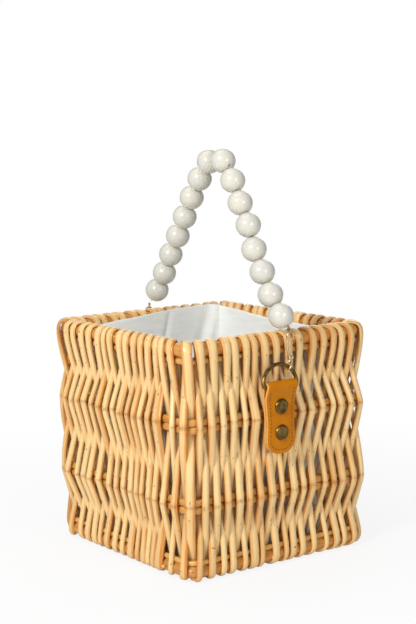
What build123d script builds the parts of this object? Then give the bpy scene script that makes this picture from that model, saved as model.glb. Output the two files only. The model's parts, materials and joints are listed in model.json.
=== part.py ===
from build123d import *
import os
from math import acos, asin, atan, atan2, cos, degrees, hypot, pi, radians, sin, sqrt, tan

# A square bucket bag of peeled willow with a handle of large beads.
# One long rod per wall is laced up and down round the hoops, a strap with a half-round ring is
# riveted to two walls, and a clasp on each ring carries one end of the bead handle.
# Millimetres, +Z up, origin at the middle of the underside. +X is the wall with the near strap.

# Basket
basket_width = 190.0
basket_depth = 178.0
basket_height = 180.0
corner_radius = 18.0
stake_pitch = 10.2
stake_width = 4.0
stake_thickness = 3.5
wrap_thickness = 2.4
wrap_gap = 0.2
rim_hoop_radius = 5.2
base_hoop_radius = 4.8
upper_tie_radius = 2.3
lower_tie_radius = 2.1
tie_offset = 1.3
band_rod_radius = 2.85
lower_band_rise = 49.8
upper_band_drop = 55.3
band_belly = 2.4
wrap_slant = 0.17
lay_gap = 0.1
lace_end_gap = 0.6
corner_relief = 0.25

# Woven bottom and lining
mat_clearance = 0.5
slat_width = 10.6
slat_thickness = 2.6
slat_pitch = 13.2
mat_bar_width = 8.0
mat_bar_thickness = 3.6
mat_bar_spread = 52.0
mat_bar_count = 3
mat_foot = 1.8
mat_corner_cut = 7.0
slat_sink = 0.4
lining_clearance = 0.55
lining_thickness = 0.9
lining_corner = 6.0
lining_hem_drop = 7.0
lining_floor_clearance = 0.3
corner_tie_width = 2.0
corner_tie_thickness = 0.8
corner_tie_units = (0.05, 0.4)

# Leather straps
strap_width = 28.0
strap_waist = 1.3
strap_ply = 2.2
strap_hang = 51.6
strap_corner = 12.5
strap_seat = 0.3
strap_slit = 0.1
fold_sides = 12
strap_pinch = 9.0
near_strap_y = -6.7
far_strap_y = -2.0
bar_drop = 39.4

# Rivets
rivet_drops = [35.3, 15.6]
rivet_head_radius = 6.0
rivet_head_height = 1.9
rivet_shank_radius = 1.5
rivet_hole_radius = 1.75
rivet_rim = 0.5
rivet_shoulder = 1.55
rivet_dish_radius = 4.3
rivet_crown_radius = 1.8
rivet_sides = 10
rivet_tail = 0.9
burr_radius = 4.2
burr_thickness = 0.8
burr_seat = 0.5

# Rings and clasps
ring_radius = 16.3
ring_wire_radius = 1.5
ring_eye_clearance = 0.3
ring_corner = 1.2
ring_lean = 9.0
ring_hook_y = 9.7
jump_radius = 3.2
jump_wire_radius = 0.55
link_clearance = 0.2
clasp_eye_radius = 1.7
clasp_wire_radius = 0.95
eye_wire_radius = 0.6
neck_length = 3.6
neck_width = 4.6
neck_depth = 3.2
hook_length = 18.6
hook_width = 8.4
hook_root = 1.0
hook_shoulder = 5.5
hook_tip_drop = 2.6
hook_tip_inset = 0.2
gate_radius = 0.6
gate_eye = 0.95
gate_slot = 1.5
gate_overlap = 1.2
gate_play = 0.35
gate_side_play = 0.15
gate_opening = 11.0
pin_inset = 1.2
pin_rise = 0.3
pin_radius = 0.45
pin_clearance = 0.04

# Bead handle
bead_radius = 9.75
bead_bore_radius = 1.75
sharp_turn = 20
bead_flat = 0.35
bead_sides = 10
bead_bands = 5
bead_wire_radius = 0.5
near_bead_place = Vector(-7.97, -2.45, 10.4)
far_bead_place = Vector(15.3, -1.19, 14.9)
near_leans = [41, 31, 32, 21, 32, 29, 40]
top_lean = 93
far_leans = [135, 142, 146, 146, 145, 147, 142]
end_loop_radius = 1.1
end_loop_gap = 0.45

# What follows from the sizes above
octant = radians(22.5)
sextant = radians(30)
rim_wrap = rim_hoop_radius + wrap_gap + wrap_thickness / 2
base_wrap = base_hoop_radius + wrap_gap + wrap_thickness / 2


# A bend on each band must clear the band's rods at the steepest lean that any run has
band_rod_rise = band_rod_radius + lay_gap / 2
wall_height = basket_height - rim_wrap - base_wrap - wrap_thickness
band_spacing = wall_height - lower_band_rise - upper_band_drop
bend_reach = band_rod_radius
for _ in range(4):
    lean = max(
        (bend_reach + band_belly + base_wrap) / lower_band_rise,
        (bend_reach + band_belly + rim_wrap) / upper_band_drop,
        2 * bend_reach / band_spacing,
    )
    bend_reach = (
        band_rod_radius * cos(sextant)
        + lean * (band_rod_rise + band_rod_radius * sin(sextant))
        + stake_thickness / 2 * sqrt(1 + lean**2)
        + lay_gap
    )


def run_lean(across, reach, distance):
    """Lean of a run that leaves a hoop's bend and ends on a band, in degrees."""
    return degrees(atan(across / distance) + asin(reach / hypot(across, distance)))


def bends(start, middle, end):
    """Angles of a rod's four bends round a hoop, each with how much farther out than the flats
    between them it lies. The middle flat is level."""
    flats = [start, (start + middle) / 2, middle, (middle + end) / 2, end]
    return [(radians((a + b) / 2), 1 / cos(radians((b - a) / 2))) for a, b in zip(flats, flats[1:])]


inner_across, outer_across = bend_reach - band_belly, bend_reach + band_belly
rim_bends = bends(
    180 + run_lean(outer_across, rim_wrap, upper_band_drop), 90,
    -run_lean(inner_across, rim_wrap, upper_band_drop),
)
base_bends = bends(
    180 - run_lean(outer_across, base_wrap, lower_band_rise), 270,
    360 + run_lean(inner_across, base_wrap, lower_band_rise),
)
rim_reach = rim_wrap + wrap_thickness / 2
base_reach = base_wrap + wrap_thickness / 2
wall_inset = max(rim_reach * stretch * cos(angle) for angle, stretch in rim_bends)
inner_face = min(rim_reach * stretch * cos(angle) for angle, stretch in rim_bends)
half_width = basket_width / 2 - wall_inset
half_depth = basket_depth / 2 - wall_inset
line_radius = corner_radius - wall_inset
rim_height = basket_height - rim_reach
base_height = base_reach
band_heights = [base_height + lower_band_rise, rim_height - upper_band_drop]
upper_tie_height = rim_height - rim_hoop_radius - lay_gap - upper_tie_radius
lower_tie_height = base_height + base_hoop_radius + lay_gap + lower_tie_radius
wall_crest = half_width + band_belly + bend_reach + stake_thickness / 2
stakes_per_wall = round((half_width + half_depth + (pi / 2 - 2) * line_radius) / stake_pitch)
bar_height = basket_height - bar_drop
strap_bottom = bar_height - strap_hang
rivet_heights = [bar_height - drop for drop in rivet_drops]

# The four walls in order round the basket: name, outward normal, half length, half distance
walls = [
    ("right", Vector(1, 0), half_depth, half_width),
    ("back", Vector(0, 1), half_width, half_depth),
    ("left", Vector(-1, 0), half_depth, half_width),
    ("front", Vector(0, -1), half_width, half_depth),
]


# Closed solid from flat faces
def patch(a, b, c, d):
    """One flat face on four points, or two triangles where they don't lie in one plane."""
    if abs((b - a).cross(c - a).dot(d - a)) < 1e-6:
        return [Face(Wire.make_polygon([a, b, c, d]))]
    return [Face(Wire.make_polygon([a, b, c])), Face(Wire.make_polygon([a, c, d]))]


def skin(rings, closed=False):
    """The solid that a row of equal rings of points spans, with ends unless it closes on itself."""
    faces = []
    pairs = list(zip(rings, rings[1:]))
    if closed:
        pairs.append((rings[-1], rings[0]))
    for near, far in pairs:
        for j in range(len(near)):
            k = (j + 1) % len(near)
            faces += patch(near[j], near[k], far[k], far[j])
    if not closed:
        faces.append(Face(Wire.make_polygon(rings[0])))
        faces.append(Face(Wire.make_polygon(rings[-1])))
    solid = Solid(Shell(faces))
    return solid if solid.volume > 0 else Solid(Shell([-face for face in faces]))


def bent_rod(points, across, radius, sides=8, closed=False):
    """A rod of a regular section along straight runs, mitred at each bend. The runs lie about in
    one plane, square to the direction across."""
    rings = []
    reach = radius / cos(pi / sides)
    for i, point in enumerate(points):
        before = points[i - 1] if closed or i else None
        after = points[(i + 1) % len(points)] if closed or i < len(points) - 1 else None
        runs = [run.normalized() for run in (
            point - before if before is not None else None,
            after - point if after is not None else None,
        ) if run is not None]
        along = sum(runs[1:], runs[0]).normalized()
        side = along.cross(across).normalized()
        over = side.cross(along)
        stretch = 1 / along.dot(runs[0])
        ring = []
        for j in range(sides):
            turn = 2 * pi * (j + 0.5) / sides
            ring.append(point + side * (reach * cos(turn) * stretch) + over * (reach * sin(turn)))
        rings.append(ring)
    return skin(rings, closed)


def turned(profile, base, axis, sides):
    """A turned piece: radii and distances of the profile along an axis, with flat sides."""
    plane = Plane(origin=base, z_dir=axis)
    rings = []
    for radius, distance in profile:
        rings.append([
            plane.from_local_coords(Vector(
                radius * cos(2 * pi * j / sides), radius * sin(2 * pi * j / sides), distance
            ))
            for j in range(sides)
        ])
    return skin(rings)


# The wall line
def on_wall(unit, offset):
    """Point, tangent and outward normal at a count of stakes round the basket, and how far past
    the corner's bend it lies. A wall's stakes share its length at that offset, corner to corner."""
    wall, unit = divmod(unit % (len(walls) * stakes_per_wall), stakes_per_wall)
    _, normal, half_length, half_distance = walls[int(wall)]
    along = Vector(-normal.Y, normal.X)
    radius = line_radius + offset
    straight = 2 * (half_length - line_radius)
    bend = pi / 4 * radius
    run = unit / stakes_per_wall * (straight + 2 * bend)
    centre = normal * (half_distance - line_radius) - along * (straight / 2)
    if run < bend:
        turn = run / radius - pi / 4
    elif run > bend + straight:
        turn = (run - bend - straight) / radius
        centre += along * straight
    else:
        past = min(run - bend, bend + straight - run)
        return centre + normal * radius + along * (run - bend), along, normal, past
    outward = normal * cos(turn) + along * sin(turn)
    tangent = along * cos(turn) - normal * sin(turn)
    return centre + outward * radius, tangent, outward, 0


# Hoops, tie rods and band rods
def hoop(offset, height, radius, sides=6, corner_steps=3):
    """A rod round the basket, outside the wall line by the offset, with its corners on the radius."""
    rings = []
    for _, normal, half_length, half_distance in walls:
        along = Vector(-normal.Y, normal.X)
        centre = normal * (half_distance - line_radius) + along * (half_length - line_radius)
        for step in range(corner_steps + 1):
            turn = step * pi / 2 / corner_steps
            outward = normal * cos(turn) + along * sin(turn)
            ring = []
            for j in range(sides):
                angle = pi / sides * (2 * j + 1)
                place = centre + outward * (line_radius + offset + radius * cos(angle))
                ring.append(Vector(place.X, place.Y, height + radius * sin(angle)))
            rings.append(ring)
    return skin(rings, closed=True)


# Lacing of one wall
def wrap(corners, reach, height, units, thickness):
    """Stations of a rod's bends round a hoop: unit, offset from the wall line, height, thickness."""
    return [
        (unit, reach * stretch * cos(angle), height + reach * stretch * sin(angle), thickness)
        for (angle, stretch), unit in zip(corners, units)
    ]


def lacing_path(first):
    """Stations of the rod: under the base hoop, up inside the low band and outside the high one,
    over the rim from inside, and down the other way round, half a unit on."""
    lower, upper = band_heights
    inside, outside = band_belly - bend_reach, band_belly + bend_reach
    foot = base_height - base_wrap
    path = [(first + 0.25, lace_end_gap / 2, foot, wrap_thickness)]
    under = wrap(
        base_bends, base_wrap, base_height,
        (0, wrap_slant, 0.5 - wrap_slant, 0.5), wrap_thickness,
    )
    over = wrap(
        rim_bends, rim_wrap, rim_height,
        (0.5, 0.5 + wrap_slant, 1 - wrap_slant, 1), wrap_thickness,
    )
    walk = [
        *under[2:], (0.5, inside, lower, stake_thickness), (0.5, outside, upper, stake_thickness),
        *over, (1, inside, upper, stake_thickness), (1, outside, lower, stake_thickness),
    ]
    walk += [(unit + 1, *place) for unit, *place in under[:2]]
    for k in range(stakes_per_wall):
        path += [(first + k + unit, *place) for unit, *place in walk]
    path.append((first + stakes_per_wall + 0.25, -lace_end_gap / 2, foot, wrap_thickness))
    return path


def flat_rod(path, width):
    """A flattened rod along stations on the wall, mitred where it bends in and out."""
    rings = []
    for i, (unit, offset, height, thickness) in enumerate(path):
        runs = []
        for a, b in ((i - 1, i), (i, i + 1)):
            if 0 <= a and b < len(path):
                run = (path[b][1] - path[a][1], path[b][2] - path[a][2])
                size = hypot(*run)
                runs.append((run[0] / size, run[1] / size))
        along = (sum(run[0] for run in runs), sum(run[1] for run in runs))
        size = hypot(*along)
        along = (along[0] / size, along[1] / size)
        half = thickness / 2 / (along[0] * runs[0][0] + along[1] * runs[0][1])
        point, tangent, normal, past = on_wall(unit, offset)
        if offset < 0 and past < width / 2:
            hollow = line_radius + offset + thickness / 2
            point -= normal * (hollow - sqrt(hollow**2 - (width / 2 - past) ** 2) + corner_relief)
        middle = Vector(point.X, point.Y, height)
        through = normal * (along[1] * half) + Vector(0, 0, -along[0] * half)
        side = tangent * (width / 2)
        rings.append([
            middle - side + through, middle + side + through,
            middle + side - through, middle - side - through,
        ])
    return skin(rings)


def make_basket():
    pieces = {
        "rim_hoop": hoop(0, rim_height, rim_hoop_radius, sides=8),
        "upper_tie_rod": hoop(tie_offset, upper_tie_height, upper_tie_radius),
        "lower_tie_rod": hoop(tie_offset, lower_tie_height, lower_tie_radius),
        "base_hoop": hoop(0, base_height, base_hoop_radius, sides=8),
    }
    for name, height in zip(("lower", "upper"), band_heights):
        pieces[f"{name}_band_rod_low"] = hoop(band_belly, height - band_rod_rise, band_rod_radius)
        pieces[f"{name}_band_rod_high"] = hoop(band_belly, height + band_rod_rise, band_rod_radius)
    for i, (name, *_) in enumerate(walls):
        pieces[f"lacing_{name}"] = flat_rod(lacing_path(i * stakes_per_wall), stake_width)
    return pieces


def make_bottom():
    """Flat willow skeins over cross bars, as one laid mat inside the laced base hoop."""
    room = mat_clearance - min(base_reach * stretch * cos(angle) for angle, stretch in base_bends)
    half_x, half_y = half_width - room, half_depth - room
    bars = [
        Pos(x, 0, mat_foot + mat_bar_thickness / 2)
        * Box(mat_bar_width, 2 * half_y, mat_bar_thickness)
        for x in (mat_bar_spread * (i - (mat_bar_count - 1) / 2) for i in range(mat_bar_count))
    ]
    count = int((2 * half_y - slat_width) / slat_pitch) + 1
    level = mat_foot + mat_bar_thickness - slat_sink + slat_thickness / 2
    slats = []
    for i in range(count):
        y = slat_pitch * (i - (count - 1) / 2)
        beyond = max(0, abs(y) + slat_width / 2 - (half_y - mat_corner_cut))
        slats.append(Pos(0, y, level) * Box(2 * (half_x - beyond), slat_width, slat_thickness))
    mat = bars[0].fuse(*bars[1:], *slats)
    return mat, level + slat_thickness / 2


def make_lining(mat_top):
    outer_x = 2 * (half_width + inner_face - lining_clearance)
    outer_y = 2 * (half_depth + inner_face - lining_clearance)
    bottom = mat_top + lining_floor_clearance
    outer = RectangleRounded(outer_x, outer_y, lining_corner)
    inner = RectangleRounded(
        outer_x - 2 * lining_thickness, outer_y - 2 * lining_thickness,
        lining_corner - lining_thickness,
    )
    height = basket_height - lining_hem_drop - bottom
    shell = Pos(0, 0, bottom) * extrude(outer, height)
    shell -= Pos(0, 0, bottom + lining_thickness) * extrude(inner, height)
    return shell


def make_corner_ties():
    """A strip of cloth over the rim at each corner, between two laced rods."""
    radius = rim_hoop_radius + lay_gap + corner_tie_thickness / 2
    low = rim_height - rim_hoop_radius + corner_tie_thickness
    corners = [(pi - octant * (2 * i + 1), 1 / cos(octant)) for i in range(4)]
    inside, outside = corner_tie_units
    units = [inside + (outside - inside) * i / 3 for i in range(4)]
    over = wrap(corners, radius, rim_height, units, corner_tie_thickness)
    walk = [(inside, -radius, low, corner_tie_thickness), *over]
    walk.append((outside, radius, low, corner_tie_thickness))
    ties = []
    for i in range(len(walls)):
        path = [(i * stakes_per_wall + unit, *place) for unit, *place in walk]
        ties.append(flat_rod(path, corner_tie_width))
    return Compound(children=ties)


# Strap, rivets, ring and clasp of one side, built on the +X wall
hook_half = hook_width / 2 - clasp_wire_radius
strap_back = wall_crest + strap_seat
eye_radius = ring_wire_radius + ring_eye_clearance
bar_x = strap_back + strap_ply + eye_radius
strap_front = strap_back + 2 * strap_ply + strap_slit
burr_face = half_width + band_belly - bend_reach - stake_thickness / 2 + burr_seat


def bore(centre, axis, radius, length, sides=8):
    """A through hole's tool, centred on a point."""
    return turned([(radius, -length / 2), (radius, length / 2)], centre, axis, sides)


def make_strap(y):
    """A folded strip: the back ply, the fold round the bar, and the front ply pinched to it."""
    fold = eye_radius + strap_ply
    pinch = bar_height - strap_pinch
    back_ply = strap_back + strap_ply
    below = strap_bottom - 1
    outline = make_face(Polyline(
        (strap_back, strap_bottom), (strap_back, bar_height), (bar_x + fold, bar_height),
        (strap_front, pinch), (strap_front, strap_bottom), close=True,
    ))
    slit = make_face(Polyline(
        (back_ply, below), (back_ply, bar_height), (bar_x + eye_radius, bar_height),
        (back_ply + strap_slit, pinch), (back_ply + strap_slit, below), close=True,
    ))
    for_bar = Pos(bar_x, bar_height)
    outline += for_bar * RegularPolygon(fold, fold_sides, major_radius=False, rotation=15)
    slit += for_bar * RegularPolygon(eye_radius, fold_sides, major_radius=False, rotation=15)
    strip = extrude(Plane.XZ * (outline - slit), strap_width / 2 + 1, both=True)
    top = bar_height + fold + 1
    half = strap_width / 2
    shoulder = strap_bottom + strap_corner
    middle = (bar_height + shoulder) / 2
    face = make_face(Polyline(
        (half, top), (half, bar_height), (half - strap_waist, middle), (half, shoulder),
        (half, strap_bottom), (-half, strap_bottom), (-half, shoulder),
        (-half + strap_waist, middle), (-half, bar_height), (-half, top), close=True,
    ))
    ends = [v for v in face.vertices() if abs(v.Y - strap_bottom) < 0.01]
    face = fillet(ends, strap_corner)
    strip &= extrude(Plane.YZ.offset(strap_back - 1) * face, 2 * fold + strap_ply)
    for height in rivet_heights:
        middle = Vector((strap_back + strap_front) / 2, 0, height)
        strip -= bore(middle, Vector(1, 0, 0), rivet_hole_radius, 4 * strap_ply)
    return Pos(0, y, 0) * strip


def make_rivet(y, height):
    tail = burr_face - burr_thickness - rivet_tail
    head = strap_front + lay_gap
    profile = [
        (rivet_shank_radius, tail - head), (rivet_shank_radius, 0), (rivet_head_radius, 0),
        (rivet_head_radius, rivet_rim), (rivet_dish_radius, rivet_shoulder),
        (rivet_crown_radius, rivet_head_height),
    ]
    return turned(profile, Vector(head, y, height), Vector(1, 0, 0), rivet_sides)


def make_burr(y, height):
    out = Vector(1, 0, 0)
    base = Vector(burr_face, y, height)
    disc = turned([(burr_radius, -burr_thickness), (burr_radius, 0)], base, out, rivet_sides)
    return disc - bore(base, out, rivet_shank_radius + lay_gap, 4 * burr_thickness, rivet_sides)


def leaned(y):
    """Frame of the hanging ring: origin on its bar, leaning in towards the rim."""
    lean = radians(ring_lean)
    return Plane(
        origin=Vector(bar_x, y, bar_height), x_dir=Vector(0, 1, 0),
        z_dir=Vector(cos(lean), 0, sin(lean)),
    )


def make_ring(y):
    plane = leaned(y)
    points = [(-ring_radius + ring_corner, 0), (ring_radius - ring_corner, 0)]
    points += [
        (ring_radius * cos(radians(turn)), ring_radius * sin(radians(turn)))
        for turn in range(9, 172, 18)
    ]
    path = [plane.from_local_coords(Vector(*point, 0)) for point in points]
    return bent_rod(path, plane.z_dir, ring_wire_radius, closed=True)


def hook_place(y, hand):
    """Where the jump ring rides on the half-round ring, and the way out from its centre."""
    plane = leaned(y)
    rise = sqrt(ring_radius**2 - ring_hook_y**2)
    place = plane.from_local_coords(Vector(hand * ring_hook_y, rise, 0))
    return place, (place - plane.origin).normalized()


def make_jump_ring(y, hand):
    place, out = hook_place(y, hand)
    down = ring_wire_radius / cos(octant) + jump_wire_radius / cos(pi / 6) + link_clearance
    centre = place + out * (jump_radius - down)
    side = leaned(y).z_dir
    points = [
        centre + out * (jump_radius * cos(2 * pi * i / 10)) + side * (jump_radius * sin(2 * pi * i / 10))
        for i in range(10)
    ]
    return bent_rod(points, out.cross(side), jump_wire_radius, sides=6, closed=True), centre


def clasp_origin(y, hand):
    """Centre of the clasp's eye, whose lower side passes through the jump ring."""
    _, out = hook_place(y, hand)
    _, centre = make_jump_ring(y, hand)
    gap = (jump_wire_radius + eye_wire_radius) / cos(pi / 6) + link_clearance
    return centre + out * (jump_radius - gap + clasp_eye_radius)


def clasp_levels(y, hand):
    base = clasp_origin(y, hand)
    neck = base.Z + clasp_eye_radius
    return base, neck, neck + neck_length, neck + neck_length + hook_length


def make_clasp(y, hand):
    """Eye, forked neck and hook of the clasp in one casting, open on the gate's side."""
    base, neck, throat, top = clasp_levels(y, hand)
    across = Vector(1, 0, 0)
    eye = bent_rod([
        base + Vector(0, clasp_eye_radius * sin(pi * i / 4), clasp_eye_radius * cos(pi * i / 4))
        for i in range(8)
    ], across, eye_wire_radius, sides=6, closed=True)
    block = Pos(base.X, base.Y, (neck + throat) / 2) * Box(neck_depth, neck_width, neck_length)
    crown = top - clasp_wire_radius - hook_half
    points = [(-neck_width / 2 + clasp_wire_radius, throat - hook_root)]
    points.append((-hook_half, throat + hook_shoulder))
    points += [
        (-hook_half * cos(pi * i / 5), crown + hook_half * sin(pi * i / 5)) for i in range(6)
    ]
    points.append((hook_half - hook_tip_inset, crown - hook_tip_drop))
    hook = bent_rod(
        [Vector(base.X, base.Y + s, z) for s, z in points], across, clasp_wire_radius, sides=6
    )
    pivot = gate_pivot(y, hand)
    room = gate_eye + link_clearance
    swing = (throat - pivot.Z) * tan(radians(gate_opening))
    slot = Pos(base.X, pivot.Y - room - swing, pivot.Z - room) * Box(
        gate_slot, neck_width, 2 * neck_length, align=(Align.CENTER, Align.MIN, Align.MIN)
    )
    pin_hole = bore(pivot, across, pin_radius + pin_clearance, neck_depth + 1)
    return (block + eye + hook) - slot - pin_hole


def gate_pivot(y, hand):
    base, neck, throat, _ = clasp_levels(y, hand)
    return Vector(base.X, base.Y + neck_width / 2 - pin_inset, (neck + throat) / 2 + pin_rise)


def make_gate(y, hand):
    """A flat lever on the pin, closing the hook from inside its tip."""
    base, _, _, top = clasp_levels(y, hand)
    pivot = gate_pivot(y, hand)
    tip = top - clasp_wire_radius - hook_half - hook_tip_drop + gate_overlap
    rest = base.Y + hook_half - hook_tip_inset - clasp_wire_radius - gate_play
    outline = make_face(Polyline(
        (pivot.Y - gate_eye, pivot.Z), (pivot.Y + gate_eye, pivot.Z),
        (rest, tip), (rest - 2 * gate_radius, tip), close=True,
    ))
    eye = Pos(pivot.Y, pivot.Z) * RegularPolygon(gate_eye, 8, rotation=22.5)
    thick = gate_slot - 2 * gate_side_play
    lever = extrude(Plane.YZ.offset(base.X) * (outline + eye), thick / 2, both=True)
    return lever - bore(pivot, Vector(1, 0, 0), pin_radius + pin_clearance, 2 * gate_slot)


def make_pin(y, hand):
    return bore(gate_pivot(y, hand), Vector(1, 0, 0), pin_radius, neck_depth)


# Bead handle
def hook_tops():
    """The crown of each clasp's hook, near side first, where the handle's ends hang."""
    near = clasp_levels(near_strap_y, 1)
    far = clasp_levels(-far_strap_y, -1)
    return Vector(near[0].X, near[0].Y, near[3]), Vector(-far[0].X, -far[0].Y, far[3])


def chord(leans):
    """Length of a row of links, and its lean from upright towards the far side."""
    across = sum(sin(radians(lean)) for lean in leans) * 2 * bead_radius
    rise = sum(cos(radians(lean)) for lean in leans) * 2 * bead_radius
    return hypot(across, rise), degrees(atan2(across, rise))


def bead_centres():
    """Centres of the beads, near end first. Each half of the chain keeps its own bends, and turns
    about its end bead until the two meet at the link on top, as when the handle is drawn up."""
    near_hook, far_hook = hook_tops()
    start, end = near_hook + near_bead_place, far_hook + far_bead_place
    along = Vector(end.X - start.X, end.Y - start.Y, 0)
    width = along.length
    along = along.normalized()
    near_length, near_lean = chord(near_leans)
    far_length, far_lean = chord(far_leans)
    width -= 2 * bead_radius * sin(radians(top_lean))
    rise = end.Z - start.Z - 2 * bead_radius * cos(radians(top_lean))
    base = hypot(width, rise)
    base_lean = degrees(atan2(width, rise))
    near_corner = degrees(acos((near_length**2 + base**2 - far_length**2) / (2 * near_length * base)))
    far_corner = degrees(acos((far_length**2 + base**2 - near_length**2) / (2 * far_length * base)))
    leans = [lean + base_lean - near_corner - near_lean for lean in near_leans]
    leans.append(top_lean)
    leans += [lean + base_lean + far_corner - far_lean for lean in far_leans]
    centres = [start]
    for lean in leans:
        step = along * sin(radians(lean)) + Vector(0, 0, cos(radians(lean)))
        centres.append(centres[-1] + step * 2 * bead_radius)
    return centres


def string_places():
    """Each bead's centre between the places before and after it on the string."""
    near_hook, far_hook = hook_tops()
    route = [near_hook, *bead_centres(), far_hook]
    return list(zip(route, route[1:], route[2:]))


def square_to_string():
    """Level direction square to the plane that the beads hang in."""
    centres = bead_centres()
    return (centres[0] - centres[-1]).cross(Vector(0, 0, 1)).normalized()


def turns_sharply(before, centre, after):
    return (centre - before).get_angle(after - centre) > sharp_turn


def make_beads():
    """Beads with a straight bore, or one drilled from both sides where the wire turns sharply."""
    bands = [pi * (k + bead_flat) / (bead_bands + 2 * bead_flat) for k in range(bead_bands + 1)]
    profile = [(bead_radius * sin(turn), -bead_radius * cos(turn)) for turn in bands]
    beads = []
    for before, centre, after in string_places():
        axis = (after - before).normalized()
        if turns_sharply(before, centre, after):
            tool = bent_rod([before, centre, after], square_to_string(), bead_bore_radius, sides=6)
        else:
            tool = bore(centre, axis, bead_bore_radius, 2 * bead_radius + 2, sides=6)
        beads.append(turned(profile, centre, axis, bead_sides) - tool)
    return beads


def end_loop(start, hook):
    """The closed loop just short of a clasp's hook, and the place where the wire meets it."""
    axis = (hook - start).normalized()
    middle = hook - axis * (end_loop_gap + end_loop_radius + bead_wire_radius / cos(sextant))
    side = axis.cross(Vector(0, 1, 0)).normalized()
    points = [
        middle + axis * (end_loop_radius * cos(pi * i / 4)) + side * (end_loop_radius * sin(pi * i / 4))
        for i in range(8)
    ]
    loop = bent_rod(points, axis.cross(side), bead_wire_radius, sides=6, closed=True)
    return loop, middle - axis * end_loop_radius


def make_bead_wire():
    """The wire, straight from one bead's edge to the next, with a loop at each end."""
    places = string_places()
    path = []
    for before, centre, after in places:
        if turns_sharply(before, centre, after):
            path.append(centre)
        path.append((centre + after) / 2)
    near_hook, first, second = places[0]
    last_but_one, last, far_hook = places[-1]
    entry = first - (second - near_hook).normalized() * bead_radius
    path[-1] = last + (far_hook - last_but_one).normalized() * bead_radius
    near_loop, near_join = end_loop(entry, near_hook)
    far_loop, far_join = end_loop(path[-1], far_hook)
    path = [near_join, entry, *path, far_join]
    return bent_rod(path, square_to_string(), bead_wire_radius, sides=6) + near_loop + far_loop


# Assembly
def one_side(y, hand, rivet_holes):
    """The pieces of one strap, on the +X wall, by name. Its clasp hangs on the hand side, 1 or -1."""
    pieces = {"strap": make_strap(y), "ring": make_ring(y)}
    pieces["jump_ring"] = make_jump_ring(y, hand)[0]
    pieces["clasp"] = make_clasp(y, hand)
    pieces["clasp_gate"] = make_gate(y, hand)
    pieces["clasp_pin"] = make_pin(y, hand)
    for place, height in zip(("low", "high"), rivet_heights):
        pieces[f"rivet_{place}"] = make_rivet(y, height)
        pieces[f"burr_{place}"] = make_burr(y, height)
        middle = Vector(half_width, y, height)
        rivet_holes.append(bore(middle, Vector(1, 0, 0), rivet_hole_radius, 4 * bend_reach))
    return pieces


def build():
    pieces = make_basket()
    mat, mat_top = make_bottom()
    pieces["woven_bottom"] = mat
    pieces["lining"] = make_lining(mat_top)
    pieces["lining_corner_ties"] = make_corner_ties()
    half_turn = Rot(0, 0, 180)
    for side, y, hand in (("right", near_strap_y, 1), ("left", -far_strap_y, -1)):
        holes = []
        for name, piece in one_side(y, hand, holes).items():
            pieces[f"{name}_{side}"] = piece if side == "right" else half_turn * piece
        for hole in holes:
            hole = hole if side == "right" else half_turn * hole
            pieces[f"lacing_{side}"] -= hole
    for i, bead in enumerate(make_beads()):
        pieces[f"bead_{i + 1:02d}"] = bead
    pieces["bead_wire"] = make_bead_wire()
    return pieces


os.makedirs("parts", exist_ok=True)
for name, piece in build().items():
    export_step(piece, f"parts/{name}.step")
print("stakes per wall", stakes_per_wall, "crest", round(wall_crest, 2), "foot", on_wall(8.25, 0)[0])
print("clasp eyes", clasp_origin(near_strap_y, 1), clasp_origin(-far_strap_y, -1))
print("jump rings", hook_place(near_strap_y, 1), hook_place(-far_strap_y, -1))
print("gate pins", gate_pivot(near_strap_y, 1), gate_pivot(-far_strap_y, -1))
print("bars", bar_x, bar_height, "clasp top", clasp_levels(near_strap_y, 1)[3])
print("end beads", bead_centres()[0], bead_centres()[-1], "peak", bead_centres()[7])
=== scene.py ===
# %% [markdown]
# # A square willow bag with a pearl handle
#
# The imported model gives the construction: hoops, one laced rod per wall, a lining, two riveted
# straps and a string of beads on clasps. This script dresses it. Every piece is put where the
# model says, in metres, so nothing has to be fitted by hand.

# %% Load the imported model
import json
import math
import random
import bmesh
import bpy
from mathutils import Matrix, Vector, noise


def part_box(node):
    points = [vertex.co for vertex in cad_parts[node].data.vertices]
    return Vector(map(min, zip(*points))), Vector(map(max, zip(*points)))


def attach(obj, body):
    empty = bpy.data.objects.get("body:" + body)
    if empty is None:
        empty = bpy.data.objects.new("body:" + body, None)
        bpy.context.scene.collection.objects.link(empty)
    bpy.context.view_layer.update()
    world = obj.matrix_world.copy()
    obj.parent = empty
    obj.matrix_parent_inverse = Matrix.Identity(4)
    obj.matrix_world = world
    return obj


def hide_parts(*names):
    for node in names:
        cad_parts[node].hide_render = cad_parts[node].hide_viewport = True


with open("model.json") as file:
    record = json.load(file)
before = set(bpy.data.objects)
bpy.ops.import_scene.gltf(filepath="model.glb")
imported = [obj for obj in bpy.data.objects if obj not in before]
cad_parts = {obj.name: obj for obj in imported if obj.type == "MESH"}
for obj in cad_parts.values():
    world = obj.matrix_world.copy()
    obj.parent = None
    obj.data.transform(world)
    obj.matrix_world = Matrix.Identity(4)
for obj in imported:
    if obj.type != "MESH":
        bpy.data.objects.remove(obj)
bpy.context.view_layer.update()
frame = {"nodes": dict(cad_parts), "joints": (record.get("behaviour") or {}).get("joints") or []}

MM = 0.001
joints = {joint["name"]: joint for joint in frame["joints"]}

# %% [markdown]
# ## The camera
#
# The photograph looks at one corner of the bag from a little above, through a long lens. A camera
# could be aimed by eye. Here its place, three angles and lens are numbers worked out from the
# basket's corners, so the picture has the photograph's frame. The lens is given for the long side
# of the picture, because that is the side that the sensor's width belongs to.

# %% Camera
camera_place = Vector((953.52, -694.44, 342.50)) * MM
camera_azimuth, camera_height, camera_roll = (math.radians(a) for a in (-36.114, 7.58, 1.043))
lens, sensor_width = 86.06, 36

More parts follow.
